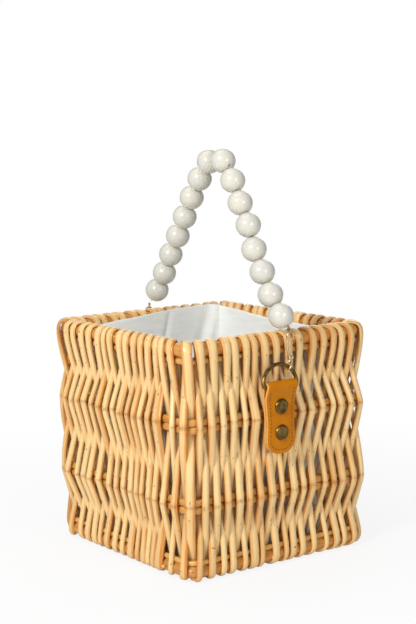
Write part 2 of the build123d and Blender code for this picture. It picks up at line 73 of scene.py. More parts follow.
back = Vector((
    math.cos(camera_height) * math.cos(camera_azimuth),
    math.cos(camera_height) * math.sin(camera_azimuth),
    math.sin(camera_height),
))
level = Vector((-math.sin(camera_azimuth), math.cos(camera_azimuth), 0))
above = back.cross(level)
right = level * math.cos(camera_roll) - above * math.sin(camera_roll)
bpy.context.scene.view_settings.view_transform = "Standard"
camera = bpy.data.objects.new("camera", bpy.data.cameras.new("camera"))
camera.data.lens = lens
camera.data.sensor_width = sensor_width
camera.matrix_world = (
    Matrix.Translation(camera_place)
    @ Matrix((right, back.cross(right), back)).transposed().to_4x4()
)
bpy.context.scene.collection.objects.link(camera)
bpy.context.scene.camera = camera
print("camera looks from", [round(x, 3) for x in camera_place])

# %% [markdown]
# ## Sizes read from the model
#
# The hoops are eight-sided in the model and the thin rods six-sided, with a corner on top. A rod's
# true radius is the distance to its corners, and its middle line is the middle of its box. The
# wall line, which everything in the basket is placed by, is the middle line of the rim hoop.
# Numbers could be copied from the model, but read like this they can't drift from it.

# %% Hoops and walls
def hoop_size(node, sides):
    """Half width, half depth, height and radius of a hoop's middle line."""
    low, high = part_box(node)
    flat = (high.z - low.z) / 2
    if sides == 6:
        radius = flat
        flat = radius * math.cos(math.pi / 6)
    else:
        radius = flat / math.cos(math.pi / sides)
    return high.x - flat, high.y - flat, (low.z + high.z) / 2, radius


half_width, half_depth, rim_height, rim_radius = hoop_size("rim_hoop", 8)
_, _, base_height, base_radius = hoop_size("base_hoop", 8)
corner_bend = 3.6 * MM
tightest_bend = 1.6 * MM
walls = ("right", "back", "left", "front")
wall_out = (Vector((1, 0, 0)), Vector((0, 1, 0)), Vector((-1, 0, 0)), Vector((0, -1, 0)))
up = Vector((0, 0, 1))


def on_wall(turn, out):
    """Place, way along and way out at a count of walls round the bag, off its wall line."""
    wall, run = divmod(turn % 4, 1)
    normal = wall_out[int(wall)]
    along = up.cross(normal)
    length, distance = (half_depth, half_width) if wall % 2 == 0 else (half_width, half_depth)
    radius = max(corner_bend + out, tightest_bend)
    straight = 2 * (length + out - radius)
    bend = math.pi / 4 * radius
    went = run * (straight + 2 * bend)
    centre = normal * (distance + out - radius) - along * (straight / 2)
    if went < bend:
        angle = went / radius - math.pi / 4
    elif went > bend + straight:
        angle = (went - bend - straight) / radius
        centre += along * straight
    else:
        return centre + normal * radius + along * (went - bend), along, normal
    outward = normal * math.cos(angle) + along * math.sin(angle)
    return centre + outward * radius, up.cross(outward), outward


print("wall line", round(half_width / MM, 2), round(half_depth / MM, 2))
print("rim at", round(rim_height / MM, 2))

# %% [markdown]
# ## Rods
#
# Willow is a round rod, slightly flattened where it is pulled tight. A curve with a bevel could
# make it, but its width and thickness can't change apart from each other. So each rod starts as a
# circle of vertices, and the circle is extruded from place to place along the rod's way. A
# subdivision surface then rounds the bends as a soaked rod would round them. Each vertex keeps
# its place in the unbent rod, so that the grain can follow every bend.

# %% Shapes into meshes
def finished_mesh(shape, name, *finishes):
    """The mesh of a finished shape, with its finishes."""
    mesh = bpy.data.meshes.new(name)
    shape.to_mesh(mesh)
    shape.free()
    for finish in finishes:
        mesh.materials.append(finish)
    return mesh


def first_ring(shape, count, matrix=Matrix.Identity(4)):
    """A circle of vertices and its edges."""
    ring = bmesh.ops.create_circle(shape, segments=count, radius=1, matrix=matrix)["verts"]
    return ring, list({edge for vert in ring for edge in vert.link_edges})


def next_ring(shape, edges):
    """The vertices and edges of the ring that a ring of edges is extruded to."""
    made = bmesh.ops.extrude_edge_only(shape, edges=edges)["geom"]
    ring = [part for part in made if isinstance(part, bmesh.types.BMVert)]
    inside = set(ring)
    return ring, [
        part for part in made
        if isinstance(part, bmesh.types.BMEdge) and inside.issuperset(part.verts)
    ]


def add_piece(mesh, body, replaces=(), levels=0):
    """A finished piece: an object at the origin that rides on a body of the model."""
    piece = bpy.data.objects.new(mesh.name, mesh)
    bpy.context.scene.collection.objects.link(piece)
    for face in mesh.polygons:
        face.use_smooth = True
    if levels:
        rounder = piece.modifiers.new("rounded", "SUBSURF")
        rounder.levels = rounder.render_levels = levels
    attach(piece, body)
    if replaces:
        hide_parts(*replaces)
    return piece


print("piece maker ready")

# %% Rod maker
seed_shift = 0.37


def place_matrix(centre, along, side, width, thickness):
    """Frame of a rod's section: x across its width, y through it, z along it."""
    along = along.normalized()
    side = (side - along * side.dot(along)).normalized()
    through = along.cross(side)
    turn = Matrix((side, through, along)).transposed().to_4x4()
    return Matrix.Translation(centre) @ turn @ Matrix.Diagonal((width / 2, thickness / 2, 1, 1))


def rod_mesh(name, places, *finishes, sides=8, closed=False, tones=None, bends=None, seed=0):
    """A rod through places of (centre, side, width, thickness), by extruding a circle."""
    count = len(places)
    shape = bmesh.new()
    straight = shape.verts.layers.float_vector.new("rod_place")
    tone_layer = shape.verts.layers.float.new("rod_tone")
    bend_layer = shape.verts.layers.float.new("rod_bend")
    length = seed * seed_shift
    frames = []
    for i, (centre, side, width, thickness) in enumerate(places):
        before = places[i - 1][0] if closed or i else centre
        after = places[(i + 1) % count][0] if closed or i < count - 1 else centre
        frames.append(place_matrix(centre, after - before, side, width, thickness))
    ring, edges = first_ring(shape, sides, frames[0])
    first_edges = edges

    def mark(verts, i):
        for vert in verts:
            local = frames[i].inverted() @ vert.co
            size = places[i][2] / 2
            vert[straight] = (local.x * size, local.y * size, length)
            vert[tone_layer] = tones[i] if tones else 0.5
            vert[bend_layer] = bends[i] if bends else 0

    mark(ring, 0)
    for i in range(1, count):
        ring, edges = next_ring(shape, edges)
        bmesh.ops.transform(shape, matrix=frames[i] @ frames[i - 1].inverted(), verts=ring)
        length += (places[i][0] - places[i - 1][0]).length
        mark(ring, i)
    if closed:
        bmesh.ops.bridge_loops(shape, edges=first_edges + edges)
    else:
        bmesh.ops.holes_fill(shape, edges=first_edges + edges, sides=sides)
    bmesh.ops.recalc_face_normals(shape, faces=shape.faces)
    return finished_mesh(shape, name, *finishes)


print("rod maker ready")

# %% [markdown]
# ## Materials as sums
#
# A material is a graph of nodes, and wiring it takes a line for every link. So one class wraps a
# socket and lets a sum of values be written as a sum, and a second one makes the nodes. A finish
# is such a graph with a Principled shader at its end, and the studio's world is one without.

# %% Material maker
class Value:
    """A socket that holds a number, for sums in a material."""

    def __init__(self, graph, socket):
        self.graph, self.socket = graph, socket

    def __add__(self, other):
        return self.graph.maths("ADD", self, other)

    def __sub__(self, other):
        return self.graph.maths("SUBTRACT", self, other)

    def __rsub__(self, other):
        return self.graph.maths("SUBTRACT", other, self)

    def __mul__(self, other):
        return self.graph.maths("MULTIPLY", self, other)

    __radd__, __rmul__ = __add__, __mul__


class Graph:
    """The nodes of a material or of the world."""

    def __init__(self, owner):
        owner.use_nodes = True
        self.tree = owner.node_tree

    def connect(self, socket, value):
        if isinstance(value, Value):
            self.tree.links.new(value.socket, socket)
        elif hasattr(socket.default_value, "__len__") and len(socket.default_value) == 4:
            socket.default_value = (*value, 1)
        else:
            socket.default_value = value

    def node(self, kind, settings=None, values=None, out=0):
        node = self.tree.nodes.new(kind)
        for name, setting in (settings or {}).items():
            setattr(node, name, setting)
        for name, value in (values or {}).items():
            self.connect(node.inputs[name], value)
        return Value(self, node.outputs[out])

    def maths(self, operation, *parts):
        return self.node("ShaderNodeMath", {"operation": operation}, dict(enumerate(parts)))

    def light_path(self, out):
        return self.node("ShaderNodeLightPath", out=out)

    def mixed_light(self, share, first, second):
        """Light between two shaders."""
        return self.node("ShaderNodeMixShader", {}, {0: share, 1: first, 2: second})


class Finish(Graph):
    """One material, with its Principled shader ready to take values."""

    def __init__(self, name):
        self.material = bpy.data.materials.new(name)
        super().__init__(self.material)
        self.shader = self.tree.nodes["Principled BSDF"]

    def mix(self, share, first, second):
        """Colour between two colours."""
        values = {0: share, 6: first, 7: second}
        return self.node("ShaderNodeMix", {"data_type": "RGBA"}, values, out=2)

    def attribute(self, name, out="Fac"):
        return self.node("ShaderNodeAttribute", {"attribute_name": name}, out=out)

    def object_place(self):
        return self.node("ShaderNodeTexCoord", out="Object")

    def stretched(self, place, scale):
        return self.node("ShaderNodeMapping", {}, {"Vector": place, "Scale": scale})

    def noise(self, place, scale, detail=2.0, rough=0.5):
        values = {"Vector": place, "Scale": scale, "Detail": detail, "Roughness": rough}
        return self.node("ShaderNodeTexNoise", {}, values)

    def level(self, value, low, high):
        """A value that runs from 0 at low to 1 at high, and no further."""
        values = {"Value": value, "From Min": low, "From Max": high}
        return self.node("ShaderNodeMapRange", {"clamp": True}, values)

    def bump(self, height, distance, strength=1.0):
        values = {"Height": height, "Distance": distance, "Strength": strength}
        return self.node("ShaderNodeBump", {}, values)

    def set(self, **values):
        for name, value in values.items():
            self.connect(self.shader.inputs[name.replace("_", " ")], value)
        return self.material


def clouded(name, scale, detail, colours, roughness, bump=None, sharpen=True, **values):
    """A finish of two colours in soft clouds, which roughen it and may stand out a little."""
    finish = Finish(name)
    clouds = finish.noise(finish.object_place(), scale, detail)
    share = finish.level(clouds, 0.3, 0.7) if sharpen else clouds
    if bump:
        values["Normal"] = finish.bump(clouds, *bump)
    smoothest, rougher = roughness
    return finish.set(
        Base_Color=finish.mix(share, *colours), Roughness=smoothest + rougher * clouds, **values
    )


print("material maker ready")

# %% [markdown]
# ## Peeled willow
#
# Peeled willow is straw coloured. It turns to honey in streaks and patches and from one rod to the
# next, and its fibres crack dark where it is bent hard. Towards the edges of each rod the colour is
# darkened to honey as painted shade, for the shade that neighbouring rods cast there.
# Small dark specks are where buds sat. A picture of wood could be wrapped round each rod. Noise
# that is stretched along the rod's unbent place is used instead, because it follows every bend
# and has no seam.

# %% Willow
bud = (0.19, 0.065, 0.012)


def willow(name, pale, deep, shift):
    finish = Finish(name)
    place = finish.attribute("rod_place", "Vector")
    tone = finish.attribute("rod_tone")
    bend = finish.attribute("rod_bend")
    streaks = finish.noise(finish.stretched(place, (700, 700, 28)), 1.0, 4, 0.6)
    patches = finish.noise(finish.stretched(place, (90, 90, 22)), 1.0, 2)
    fibres = finish.noise(finish.stretched(place, (2600, 2600, 60)), 1.0, 3)
    specks = finish.level(finish.noise(finish.stretched(place, (420, 420, 260)), 1.0, 1), 0.72, 0.76)
    sideways = finish.node("ShaderNodeSeparateXYZ", {}, {0: place}, out="X")
    from_middle = finish.maths("ABSOLUTE", sideways)
    # painted shade: this edge mask darkens the rod to honey towards its edges, where its neighbours
    # shade it
    edge = finish.level(from_middle, 1.7 * MM, 3.1 * MM) * (0.55 + 0.9 * (streaks - 0.5))
    cracked = finish.level(bend, 0.45, 0.9) * finish.level(streaks, 0.42, 0.6)
    # depth adds the willow's own streaks, patches, tone and bend marks to the painted edge shade
    depth = streaks * 0.8 + patches * 0.7 + tone * 0.62 + bend * 0.25 + edge * 0.95 - (1.0 - shift)
    colour = finish.mix(finish.level(depth, 0.0, 1.0), pale, deep)
    colour = finish.mix(finish.level(specks + cracked * 0.6, 0, 1) * 0.75, colour, bud)
    height = streaks * 0.5 + fibres * 0.3 - cracked * 0.9
    return finish.set(
        Base_Color=colour, Roughness=0.30 + 0.24 * fibres, Specular_IOR_Level=0.4,
        Coat_Weight=0.35, Coat_Roughness=0.2, Normal=finish.bump(height, 0.00045, 0.7),
    )


# honey is the willow's own deep tone, and also the colour of the painted shade at the rods' edges
straw, honey = (0.86, 0.60, 0.265), (0.60, 0.21, 0.012)
stake_willow = willow("willow_stakes", straw, honey, 0.0)
hoop_willow = willow("willow_hoops", (0.80, 0.46, 0.13), (0.52, 0.18, 0.02), 0.1)
print("willow ready")

# %% [markdown]
# ## The hoops
#
# Two thick rods, at the rim and at the base, and six thin ones go round the bag. The model's own
# hoops could stay, but their corners are bent in three flat steps. So each is drawn again round
# the wall line at its own height, a little uneven as a rod is, and with a true bend.

# %% Hoops
hoop_steps = 4 * 24
hoop_swell = 1.08


def make_hoop(name, node, sides, seed):
    width, _, height, radius = hoop_size(node, sides)
    rng = random.Random(seed)
    places, tones = [], []
    for i in range(hoop_steps):
        turn = 4 * i / hoop_steps
        place, _, outward = on_wall(turn, width - half_width)
        size = 2 * radius * hoop_swell * rng.uniform(0.97, 1.03)
        places.append((place + up * height, outward, size, size))
        tones.append(0.5 + 0.5 * noise.noise(Vector((turn * 1.7, seed, 0))))
    mesh = rod_mesh(name, places, hoop_willow, closed=True, tones=tones, seed=seed)
    add_piece(mesh, "basket", [node], levels=1)


hoops = [("rim_hoop", 8), ("base_hoop", 8), ("upper_tie_rod", 6), ("lower_tie_rod", 6)]
hoops += [
    (f"{place}_band_rod_{level}", 6) for place in ("lower", "upper") for level in ("low", "high")
]
for seed, (node, sides) in enumerate(hoops):
    name = node.replace("_hoop", "_hoop_willow").replace("_rod", "_willow")
    make_hoop(name, node, sides, seed)
print("hoops", len(hoops))

# %% [markdown]
# ## The laced rods
#
# One rod per wall runs up inside the low band and outside the high one, over the rim, and down the
# other way round. One stake could be drawn and repeated, but that looks like a machine's work. The
# rods lie where hands pushed them, so on the two walls that the photograph shows their places are
# listed one by one, counted in sixteenths of the wall. On the other two walls they are uneven at
# random, and the width and tone differ from stake to stake.

# %% Where the stakes lie
stakes = 16
# Each wall's places at the rim, at the upper band, at the lower band and at the base.
lay = {
    "right": (
        (0, 1.0, 2.1, 3.3, 3.95, 5.0, 5.7, 6.6, 7.65, 8.75, 9.8, 11.1, 12.1, 13.05, 13.8, 14.7, 16),
        (0.86, 1.87, 2.86, 3.73, 4.75, 5.65, 6.6, 7.6, 8.7, 9.8, 10.7, 11.7, 12.7, 13.46, 14.4, 15.5),
        (0, 1.2, 2.2, 3.15, 4.16, 5.0, 6.0, 7.03, 7.95, 9.0, 9.88, 10.7, 11.88, 12.7, 13.55,
         14.65, 15.7),
        (0.65, 1.75, 2.8, 3.6, 4.7, 5.53, 6.2, 7.5, 8.45, 9.07, 10.0, 11.07, 12.3, 13.3, 14.05, 15.05),
    ),
    "front": (
        (0, 1.5, 2.4, 3.5, 4.5, 5.7, 6.45, 7.2, 8.4, 9.2, 10.2, 11.0, 11.9, 12.8, 13.4, 14.4, 16),
        (1.5, 2.3, 3.1, 3.95, 4.9, 5.8, 6.7, 7.6, 8.47, 9.4, 10.2, 10.9, 11.8, 12.85, 14.6, 15.65),
        (0.5, 1.5, 2.8, 3.65, 4.4, 5.6, 6.93, 7.85, 8.75, 9.6, 10.3, 10.93, 11.77, 12.45, 13.4,
         14.65, 16),
        (1.3, 2.6, 3.55, 4.45, 5.2, 6.1, 7.1, 8.05, 9.1, 9.95, 10.7, 11.25, 11.85, 12.5, 13.95, 15.4),
    ),
}
wide_rises = {("front", 13): 1.65, ("front", 8): 1.3, ("front", 5): 1.35, ("right", 5): 1.2}
wide_rises["right", 8] = 0.8
wide_falls = {("front", 14): 1.5, ("front", 15): 1.3, ("front", 13): 1.3, ("right", 0): 1.15}
rise_widths = (0.78, 0.88, 0.95, 1.0, 1.05, 1.12, 1.22)
fall_widths = (0.76, 0.86, 0.93, 1.0, 1.05, 1.15, 1.25)
band_height = [
    (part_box(f"{place}_band_rod_low")[0].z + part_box(f"{place}_band_rod_high")[1].z) / 2
    for place in ("lower", "upper")
]
band_out = hoop_size("upper_band_rod_low", 6)[0] - half_width
band_reach = 5.6 * MM
stake_wide, stake_thick, wrap_thick = 6.1 * MM, 4.7 * MM, 3.9 * MM
under_base = base_height - base_radius - wrap_thick / 2


def uneven(rng, start, count):
    """Places that a hand would give to a row of stakes: about one apart."""
    return tuple(start + k + rng.uniform(-0.3, 0.3) * (0 < k < stakes) for k in range(count))


def wall_lay(wall, rng):
    if wall in lay:
        return lay[wall]
    starts = ((0, stakes + 1), (0.75, stakes), (0, stakes + 1), (0.6, stakes))
    rows = [uneven(rng, start, count) for start, count in starts]
    if wall == "left":  # its last stakes close up to the corner that the photograph shows
        for row, last in enumerate(((15.25, 16.2), (15.3, 16.5), (15.3, 16.5))):
            rows[row] = rows[row][:-2] + last
    return rows


print("bands at", [round(height / MM, 1) for height in band_height])

# %% [markdown]
# The rod is followed as the maker's hands lead it: flattened round a hoop, straight between
# bends, and swollen and cracked where it is bent hard round a band.

# %% Lacing rod
class LacingRod:
    """The rod that laces one wall, with its width and tone as they are just now."""

    def __init__(self, number, rng):
        self.number, self.rng = number, rng
        self.places, self.tones, self.bends = [], [], []

    def add(self, unit, out, height, thick, swell=1.0, bend=0.0):
        """Leads the rod to a count along the wall, a way out of its line and a height."""
        centre, along, _ = on_wall(self.number + unit / stakes, out)
        height = max(height, thick * 0.52)
        self.places.append((centre + up * height, along, self.wide * swell, thick))
        self.tones.append(self.tone)
        self.bends.append(bend)

    def round_hoop(self, angles, units, radius, height):
        reach = (radius + wrap_thick / 2) * 1.04
        for angle, unit in zip(angles, units):
            turn = math.radians(angle)
            self.add(unit, reach * math.cos(turn), height + reach * math.sin(turn), wrap_thick)

    def run(self, start, end):
        """Two places on the straight run between bends, with a slight bow of its own."""
        bow = self.rng.uniform(-0.05, 0.05)
        for share in (0.3, 0.7):
            unit, out, height = (a + (b - a) * share for a, b in zip(start, end))
            self.add(unit + bow, out, height, min(stake_thick, self.wide))

    def band(self, unit, side, height, going):
        """The bend round a band, which is shallower close to a corner."""
        near_corner = min(1.0, min(unit, stakes - unit) / 1.5)
        reach = band_reach * (0.62 + 0.38 * near_corner if side > 0 else 1)
        step = (1.5 + 2.6 * self.rng.random() ** 2) * MM
        lean = (reach + base_radius) / 50 / MM * step
        shift = self.rng.uniform(-1.2, 1.2) * MM
        for k in (-1, 0, 1):
            out = band_out + side * (reach - (lean * 0.25 if k else 0))
            swell, bend = (1.03, 0.0) if k else (1.08, 1.0)
            thick = min(stake_thick, self.wide)
            self.add(unit, out, height + shift + going * k * step, thick, swell, bend)
        return unit, band_out + side * reach, height

    def weave(self, start, inside, outside, end, going):
        """From hoop to hoop: inside the first band that it meets and outside the second."""
        for (unit, height), side in zip((inside, outside), (-1, 1)):
            self.run(start, (unit, band_out + side * band_reach, height))
            start = self.band(unit, side, height, going)
        self.run(start, end)


print("round the base at", round(under_base / MM, 2))

# %% Lacing
base_in, base_away, over_rim = (293, 347), (190, 243), (170, 118, 67, 12)
rim_spread, narrowest_wrap, widest_wrap = 4.55, 5.4, 8.8


def make_lacing(number, wall):
    rng = random.Random(41 + number)
    at_rim, at_upper, at_lower, at_base = wall_lay(wall, rng)
    lower, upper = band_height
    rod = LacingRod(number, rng)
    rod.wide, rod.tone = stake_wide, rng.random()
    rod.add(0.25, 0.3 * MM, under_base, wrap_thick)
    for k in range(stakes):
        last = k == stakes - 1
        rise_wide = stake_wide * rng.choice(rise_widths) * wide_rises.get((wall, k), 1)
        fall_wide = stake_wide * rng.choice(fall_widths) * wide_falls.get((wall, k), 1)
        rise_tone, fall_tone = rng.random(), rng.random()
        inside_rim = at_rim[k + 1] - 0.42
        next_upper = stakes + 0.5 if last else at_upper[k + 1]
        next_base = stakes + 0.45 if last else at_base[k + 1]
        between_lower = (at_lower[k] + at_lower[k + 1]) / 2
        between_upper = (at_upper[k] + next_upper) / 2
        inside_lower = 0.3 * (at_upper[k] + at_base[k]) / 2 + 0.7 * between_lower
        inside_upper = 0.3 * (at_rim[k + 1] + at_lower[k + 1]) / 2 + 0.7 * between_upper
        foot = (at_lower[k + 1] + next_base) / 2 - 0.3

        rod.wide, rod.tone = rise_wide, rise_tone
        rod.round_hoop(base_in, (at_base[k] - 0.15, at_base[k]), base_radius, base_height)
        start = (at_base[k], base_radius, base_height + 3 * MM)
        end = (inside_rim, -rim_radius - wrap_thick / 2, rim_height)
        rod.weave(start, (inside_lower, lower), (at_upper[k], upper), end, 1)

        room = 2 * (at_rim[k + 1] - at_rim[k]) if last else at_rim[k + 2] - at_rim[k]
        rod.wide = min(max(room * rim_spread, narrowest_wrap), widest_wrap) * MM
        rod.tone = fall_tone
        rim_units = (inside_rim, inside_rim + 0.12, inside_rim + 0.3, at_rim[k + 1])
        rod.round_hoop(over_rim, rim_units, rim_radius, rim_height)

        rod.wide = fall_wide
        start = (at_rim[k + 1], rim_radius + wrap_thick / 2, rim_height - 3 * MM)
        end = (foot, -base_radius, base_height + 3 * MM)
        rod.weave(start, (inside_upper, upper), (at_lower[k + 1], lower), end, -1)
        rod.round_hoop(base_away, (foot, foot + 0.12), base_radius, base_height)
    rod.wide = stake_wide
    rod.add(stakes + 0.25, -0.3 * MM, under_base, wrap_thick)
    mesh = rod_mesh(f"laced_willow_{wall}", rod.places, stake_willow,
                    tones=rod.tones, bends=rod.bends, seed=10 + number)
    return add_piece(mesh, "basket", [f"lacing_{wall}"], levels=2)


print("lacing of", stakes, "stakes a wall")

# %% [markdown]
# Two straight stakes stand behind the bands at each corner, where the laced rods leave a gap, and
# a few cut ends stick out by the base hoop where a new rod was taken in.

# %% Corner stakes and cut ends
def straight_stake(name, places, tone, seed):
    mesh = rod_mesh(name, places, stake_willow, tones=[tone] * len(places), seed=seed)
    add_piece(mesh, "basket", levels=2)


def make_corner_stakes(number):
    for order, (side, unit) in enumerate((("before", -1.25), ("after", 0.4))):
        rng = random.Random(70 + number * 2 + order)
        tone, places = rng.random(), []
        for share in (0, 0.25, 0.5, 0.75, 1):
            height = base_height + (rim_height - 5 * MM - base_height) * share
            bulge = 1 - abs(2 * share - 1)
            turn = (number + (unit + rng.uniform(-0.06, 0.06)) / stakes) % 4
            centre, along, _ = on_wall(turn, band_out - band_reach - (1.6 + 2.2 * bulge) * MM)
            places.append((centre + up * height, along, stake_wide, 3.2 * MM))
        straight_stake(f"corner_stake_{side}_{walls[number]}", places, tone, 60 + number)


for number, unit in ((0, 7.1), (2, 15.2), (3, 2.3), (3, 12.9), (1, 6.2)):
    places = []
    for k, out in enumerate((-1.0, 3.0, 7.0)):
        centre, along, _ = on_wall(number + (unit + 0.12 * k) / stakes, out * MM)
        height = base_height - 1.5 * MM + 0.6 * k * MM
        places.append((centre + up * height, along, 3.6 * MM, 3.4 * MM))
    straight_stake(f"cut_end_{walls[number]}_{int(unit)}", places, 0.7, 90 + number)
for number, wall in enumerate(walls):
    piece = make_lacing(number, wall)
    make_corner_stakes(number)
    print(piece.name, "vertices before rounding", len(piece.data.vertices))

# %% [markdown]
# ## The woven bottom
#
# The mat of flat skeins under the lining shows only when the bag is lifted. It could be drawn
# again, but the model's own solid has its skeins already, so that stays and takes a finish whose
# grain runs along each skein.

# %% Bottom mat
mat_finish = Finish("willow_mat")
mat_place = mat_finish.object_place()
mat_grain = mat_finish.noise(mat_finish.stretched(mat_place, (30, 700, 700)), 1.0, 4, 0.6)
mat_patches = mat_finish.noise(mat_finish.stretched(mat_place, (14, 90, 90)), 1.0, 2)
mat_depth = mat_finish.level(mat_grain * 0.6 + mat_patches * 0.6, 0.35, 0.95)
mat_finish.set(
    Base_Color=mat_finish.mix(mat_depth, straw, honey),
    Roughness=0.45 + 0.2 * mat_grain, Normal=mat_finish.bump(mat_grain, 0.0004, 0.5),
)
mat = frame["nodes"]["woven_bottom"]
mat.data.materials.clear()
mat.data.materials.append(mat_finish.material)
print("mat", len(mat.data.polygons))

# %% [markdown]
# ## The cotton lining
#
# The lining is an open bag of plain white cotton, sewn under the rim. Cloth could be simulated,
# but this one is held all round and has only small folds. So it starts as rings of a rounded
# rectangle, extruded from the rim to the floor and in to its middle, and each place is then
# pushed in a little, by slack, by a fold and a tuck beside each corner and by a crease.

# %% Lining shape
lining_low, lining_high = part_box("lining")
cloth_thick = 0.6 * MM
cloth_out = lining_high.x - half_width - cloth_thick
lining_top, corner_rise, far_corner = rim_height + 0.5 * MM, 7.0 * MM, 2.2


def hem_height(turn):
    """The cloth's upper edge: it stands higher at the far corner."""
    back = max(0.0, 1 - abs((turn - far_corner + 2) % 4 - 2) / 0.8)
    wave = noise.noise(Vector((turn * 6, 0, 3))) * 0.8 * MM
    return lining_top + corner_rise * back * back * (3 - 2 * back) + wave


def soft(distance, wide):
    return math.exp(-((distance / wide) ** 2))


def lining_place(turn, depth):
    """A place on the cloth, pushed in by slack that fades towards the hem."""
    height = hem_height(turn) + (lining_low.z + cloth_thick - hem_height(turn)) * depth
    centre, _, outward = on_wall(turn, cloth_out)
    from_corner = (turn + 0.5) % 1 - 0.5
    slack = noise.noise(Vector((turn * 2.3, depth * 1.5, 7))) * 3.0
    slack += noise.noise(Vector((turn * 7, depth * 4, 2))) * 0.8
    loose = min(1.0, depth * 5)
    cut = 9.0 * soft(from_corner, 0.075) * (0.35 + 0.65 * loose)
    fold = 3.2 * soft(from_corner - 0.05 - 0.30 * depth, 0.022) * (0.3 + 0.7 * loose)
    tuck = -2.4 * soft(from_corner - 0.10 - 0.34 * depth, 0.025) * loose
    crease = 1.8 * soft(from_corner - 0.38 - 0.3 * depth, 0.014) * soft(depth - 0.09, 0.08)
    push = 1.5 + slack * loose + cut + fold + tuck - crease
    return centre - outward * max(0.0, push) * MM + up * height


print("cloth", round(cloth_out / MM, 2), "out of the wall line")

# %% Lining
lining_columns, lining_rows, rows_closer = 288, 40, 1.3
floor_shares = (0.94, 0.8, 0.6, 0.4, 0.2, 0.08)


def make_lining():
    shape = bmesh.new()
    ring, edges = first_ring(shape, lining_columns)
    turns = {vert: 4 * i / lining_columns for i, vert in enumerate(ring)}
    for vert in ring:
        vert.co = lining_place(turns[vert], 0)

    def lower_ring():
        """The next ring, whose vertices take the turn of the ones that they came from."""
        ring, next_edges = next_ring(shape, edges)
        inside = set(ring)
        for vert in ring:
            ends = (edge.other_vert(vert) for edge in vert.link_edges)
            turns[vert] = turns[next(end for end in ends if end not in inside)]
        return ring, next_edges

    for row in range(1, lining_rows + 1):
        ring, edges = lower_ring()
        for vert in ring:
            vert.co = lining_place(turns[vert], (row / lining_rows) ** rows_closer)
    middle = Vector((0, 0, lining_low.z + cloth_thick))
    for share in floor_shares:
        ring, edges = lower_ring()
        for vert in ring:
            vert.co = middle.lerp(lining_place(turns[vert], 1), share)
            vert.co.z += (0.4 + 0.6 * noise.noise(vert.co * 25)) * MM * (1 - share)
    bmesh.ops.pointmerge(shape, verts=ring, merge_co=middle + Vector((0, 0, 0.6 * MM)))
    bmesh.ops.recalc_face_normals(shape, faces=shape.faces)
    return finished_mesh(shape, "cotton_lining", cotton.material)


def threads(direction, place, scale):
    settings = {"wave_type": "BANDS", "bands_direction": direction}
    values = {"Vector": place, "Scale": scale, "Distortion": 1.5, "Detail": 1.0}
    return cotton.node("ShaderNodeTexWave", settings, values, out="Fac")


cotton = Finish("cotton")
cotton_place = cotton.object_place()
warp = threads("Z", cotton_place, 620.0)
weft = threads("DIAGONAL", cotton.stretched(cotton_place, (1, 1, 0)), 500.0)
slubs = cotton.noise(cotton.stretched(cotton_place, (60, 60, 300)), 1.0, 3)
cotton.set(
    Base_Color=cotton.mix(cotton.level(slubs, 0.3, 0.7), (0.80, 0.80, 0.76), (0.88, 0.88, 0.85)),
    Roughness=0.85 + 0.1 * slubs, Sheen_Weight=0.25, Sheen_Roughness=0.5,
    Normal=cotton.bump(warp * 0.5 + weft * 0.5 + slubs * 0.6, 0.00018, 0.5),
)
lining = add_piece(make_lining(), "basket", ["lining"])
cloth = lining.modifiers.new("cloth", "SOLIDIFY")
cloth.thickness, cloth.offset = cloth_thick, 0
lining_cut = 4 * lining_high.x * lining_high.y
lining_cut += 4 * (lining_high.x + lining_high.y) * (lining_top - lining_low.z)
print("lining", len(lining.data.polygons), "cut", round(lining_cut, 4))

# %% [markdown]
# At each corner a narrow strip of the same cotton goes over the rim between two rods and holds
# the lining there. It is made as the rods are, only flat.

# %% Corner ties
tie_wide, tie_thick = 1.9 * MM, 0.6 * MM
tie_reach, tie_low = rim_radius + 0.5 * MM, rim_height - rim_radius + 0.8 * MM
over_tie = [math.radians(170 - 40 * i) for i in range(5)]


def make_corner_ties():
    whole = bmesh.new()
    points = [(0.05, -tie_reach, tie_low)]
    points += [
        (0.05 + 0.0875 * i, tie_reach * math.cos(a), rim_height + tie_reach * math.sin(a))
        for i, a in enumerate(over_tie)
    ]
    points += [(0.4, tie_reach, tie_low)]
    for corner in range(4):
        places = []
        for unit, out, height in points:
            centre, along, _ = on_wall(corner + unit / stakes, out)
            places.append((centre + up * height, along, tie_wide, tie_thick))
        mesh = rod_mesh("tie", places, seed=corner)
        whole.from_mesh(mesh)
        bpy.data.meshes.remove(mesh)
    return finished_mesh(whole, "cotton_ties", cotton.material)


ties = add_piece(make_corner_ties(), "basket", ["lining_corner_ties"], levels=2)
print("ties", len(ties.data.polygons))

# %% [markdown]
# ## Leather straps
#
# Each strap is one strip of leather, folded over the ring's bar so that two plies lie on each
# other. Two plates and a bend could be joined, but their edges would break at the joins. So it
# starts as one flat plate with rounded ends, is cut across into narrow rows, and each row is moved
# to its place along the fold. A Solidify modifier gives the thickness and paints the cut edge with
# its own paler finish.

# %% Leather and thread
leather = Finish("leather")
leather_place = leather.object_place()
pores = leather.node("ShaderNodeTexVoronoi", {"feature": "F1"},
                     {"Vector": leather_place, "Scale": 1900.0}, out="Distance")
cloudy = leather.noise(leather_place, 90.0, 3)
leather.set(
    Base_Color=leather.mix(leather.level(cloudy, 0.3, 0.72), (0.60, 0.205, 0.0), (0.50, 0.15, 0.0)),
    Roughness=0.42 + 0.16 * cloudy, Specular_IOR_Level=0.16,
    Normal=leather.bump(pores * 0.6 + cloudy * 0.5, 0.00022, 0.35),
)
leather_edge = clouded("leather_edge", 700.0, 3, ((0.78, 0.43, 0.13), (0.66, 0.32, 0.07)),
                       (0.6, 0.15), bump=(0.0002, 0.4))
thread = clouded("thread", 2500.0, 2, ((0.26, 0.085, 0.008), (0.16, 0.045, 0.005)),
                 (0.7, 0.1), bump=(0.0001, 0.4), sharpen=False)
print("leather, its edge and thread ready")

